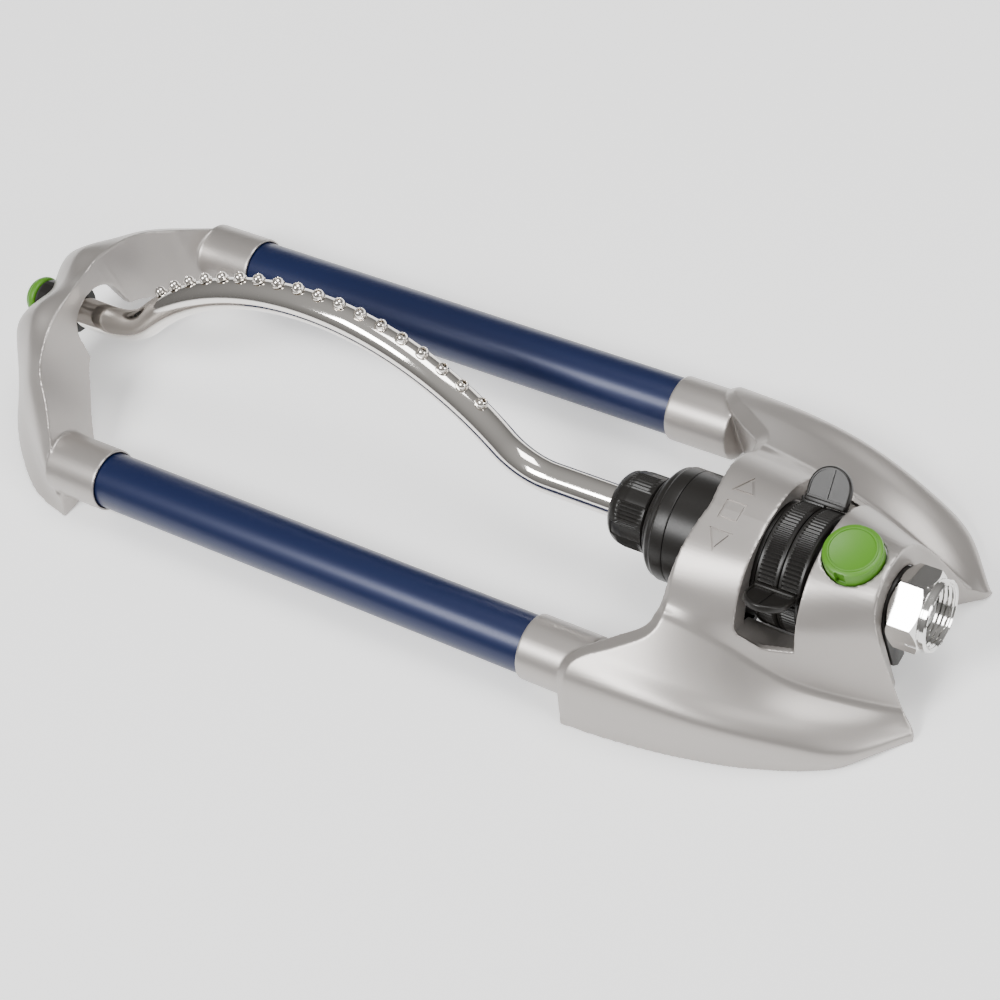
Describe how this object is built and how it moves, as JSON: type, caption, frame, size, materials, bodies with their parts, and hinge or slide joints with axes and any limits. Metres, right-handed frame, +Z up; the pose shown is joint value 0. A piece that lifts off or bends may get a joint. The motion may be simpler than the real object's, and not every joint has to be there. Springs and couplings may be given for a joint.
{
  "type": "oscillating garden sprinkler",
  "caption": "Oscillating garden sprinkler: a curved spray tube rocks between a painted end arch and a motor housing that two straight rails join.",
  "frame": {"origin": "centre of the footprint, on the ground under the feet", "axes": "+X along the rails towards the hose inlet, +Y to the side that the curved tube leans to, +Z up"},
  "size_m": [0.4634, 0.1686, 0.0926],
  "materials": {
    "silver_paint": "satin metallic silver paint",
    "navy_anodised": "satin navy anodised",
    "polished_tube": "polished",
    "black_plastic": "satin black",
    "green_plastic": "satin green",
    "chrome": "bright",
    "rubber": "matt black",
    "white_acetal": "natural white",
    "steel": "plain bright",
    "jet_metal": "bright turned"
  },
  "bodies": {
    "frame": {"end_arch": "silver_paint", "housing_shell": "silver_paint", "rail_near": "navy_anodised", "rail_far": "navy_anodised", "rail_screw_arch_near": "steel", "rail_screw_arch_far": "steel", "rail_screw_housing_near": "steel", "rail_screw_housing_far": "steel", "motor_cradle": "black_plastic", "cradle_screw_near": "steel", "cradle_screw_far": "steel", "output_seal": "rubber", "motor_front_cap": "black_plastic", "motor_case": "black_plastic", "turbine_axle": "steel", "gear_plate": "black_plastic", "valve_body": "black_plastic", "stem_seal": "rubber", "inlet_yoke": "black_plastic", "inlet_tailpiece": "chrome", "hose_washer": "rubber", "filter_screen": "steel", "end_bushing": "black_plastic"},
    "spray": {"spray_tube": "polished_tube", "nozzle_01": "jet_metal", "nozzle_02": "jet_metal", "nozzle_03": "jet_metal", "nozzle_04": "jet_metal", "nozzle_05": "jet_metal", "nozzle_06": "jet_metal", "nozzle_07": "jet_metal", "nozzle_08": "jet_metal", "nozzle_09": "jet_metal", "nozzle_10": "jet_metal", "nozzle_11": "jet_metal", "nozzle_12": "jet_metal", "nozzle_13": "jet_metal", "nozzle_14": "jet_metal", "nozzle_15": "jet_metal", "nozzle_16": "jet_metal", "nozzle_17": "jet_metal", "nozzle_18": "jet_metal", "tube_nut": "black_plastic", "tube_packing": "rubber", "output_shaft": "white_acetal", "end_plug": "green_plastic", "plug_seal": "rubber"},
    "link": {"drive_link": "white_acetal"},
    "turbine": {"turbine_wheel": "white_acetal"},
    "first_stage": {"first_gear": "white_acetal"},
    "second_stage": {"second_gear": "white_acetal"},
    "crank": {"crank_gear": "white_acetal"},
    "adjuster_far": {"adjuster_ring_far": "black_plastic"},
    "adjuster_near": {"adjuster_ring_near": "black_plastic"},
    "knob": {"flow_knob": "green_plastic", "flow_valve": "black_plastic"},
    "hose_nut": {"hose_swivel_nut": "chrome"}
  },
  "joints": [
    {"name": "spray_swing", "type": "hinge", "parent": "frame", "child": "spray", "pos_m": [0, 0, 0.038], "axis": [1, 0, 0], "range_deg": [-25, 65]},
    {"name": "link_pivot", "type": "hinge", "parent": "spray", "child": "link", "pos_m": [0.128, -0.00611, 0.04022], "axis": [1, 0, 0], "range_deg": [-65, 25]},
    {"name": "turbine_spin", "type": "hinge", "parent": "frame", "child": "turbine", "pos_m": [0.155, 0, 0.038], "axis": [1, 0, 0], "continuous": true},
    {"name": "first_stage_spin", "type": "hinge", "parent": "frame", "child": "first_stage", "pos_m": [0.143, 0.00935, 0.0434], "axis": [1, 0, 0], "continuous": true},
    {"name": "second_stage_spin", "type": "hinge", "parent": "frame", "child": "second_stage", "pos_m": [0.138, 0, 0.038], "axis": [1, 0, 0], "continuous": true},
    {"name": "crank_spin", "type": "hinge", "parent": "frame", "child": "crank", "pos_m": [0.136, -0.00622, 0.02917], "axis": [1, 0, 0], "continuous": true},
    {"name": "far_adjuster", "type": "hinge", "parent": "frame", "child": "adjuster_far", "pos_m": [0.169, 0, 0.038], "axis": [1, 0, 0], "range_deg": [-3, 45]},
    {"name": "near_adjuster", "type": "hinge", "parent": "frame", "child": "adjuster_near", "pos_m": [0.179, 0, 0.038], "axis": [1, 0, 0], "range_deg": [-45, 3]},
    {"name": "flow_knob_turn", "type": "hinge", "parent": "frame", "child": "knob", "pos_m": [0.1987, 0, 0.06], "axis": [0, 0, 1], "range_deg": [0, 90]},
    {"name": "hose_nut_spin", "type": "hinge", "parent": "frame", "child": "hose_nut", "pos_m": [0.224, 0, 0.038], "axis": [1, 0, 0], "continuous": true}
  ],
  "couplings": [
    {"joint": "link_pivot", "follows": "spray_swing", "ratio": -1},
    {"joint": "first_stage_spin", "follows": "turbine_spin", "ratio": -0.33333},
    {"joint": "second_stage_spin", "follows": "turbine_spin", "ratio": 0.11111},
    {"joint": "crank_spin", "follows": "turbine_spin", "ratio": -0.037037}
  ]
}
